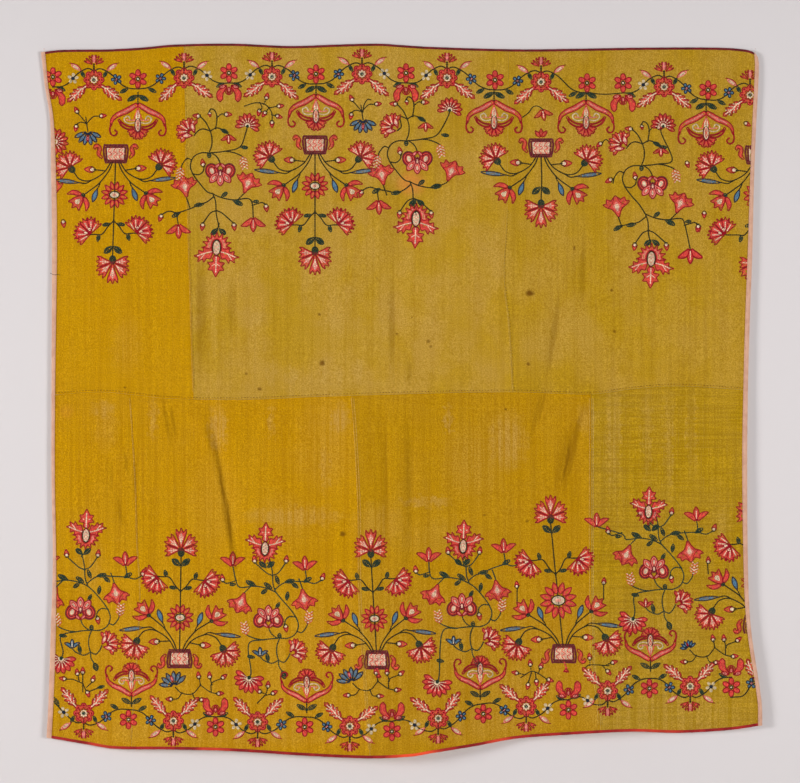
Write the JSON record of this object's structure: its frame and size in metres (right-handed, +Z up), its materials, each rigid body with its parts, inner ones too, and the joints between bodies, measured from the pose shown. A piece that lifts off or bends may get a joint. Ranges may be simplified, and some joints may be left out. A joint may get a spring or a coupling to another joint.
{
  "type": "embroidered wool coverlet",
  "caption": "Hanging coverlet of joined woollen panels with crewel flower sprays, urns and garlands in wool yarn, rose side tapes and red edge bindings.",
  "frame": {"origin": "middle of the top edge, where the coverlet is held up", "axes": "+Z up, front faces -Y, +X to the right seen from the front"},
  "size_m": [2.1629, 0.046, 2.1401],
  "materials": {
    "golden_wool": "golden yellow plain-woven wool, worn tan in places",
    "mustard_wool": "olive mustard plain-woven wool with paler streaks",
    "coarse_wool": "coarser, visibly woven mustard wool, worn pale",
    "rose_tape": "faded rose-pink woollen tape",
    "crimson_binding": "dark crimson woven binding",
    "vermilion_binding": "orange-red woven binding, darker in places",
    "madder_yarn": "dark madder red crewel wool",
    "coral_yarn": "coral red crewel wool",
    "pink_yarn": "faded pink crewel wool",
    "cream_yarn": "cream crewel wool",
    "green_yarn": "dark green crewel wool",
    "blue_yarn": "indigo blue crewel wool",
    "navy_yarn": "deep navy crewel wool",
    "maroon_yarn": "maroon brown crewel wool"
  },
  "bodies": {
    "root": {"upper_left_panel": "golden_wool", "upper_middle_panel": "mustard_wool", "upper_right_panel": "mustard_wool", "lower_left_panel": "golden_wool", "lower_mid_left_panel": "golden_wool", "lower_mid_right_panel": "golden_wool", "lower_right_panel": "coarse_wool", "left_tape": "rose_tape", "right_tape": "rose_tape", "top_binding": "crimson_binding", "bottom_binding": "vermilion_binding"}
  },
  "joints": []
}
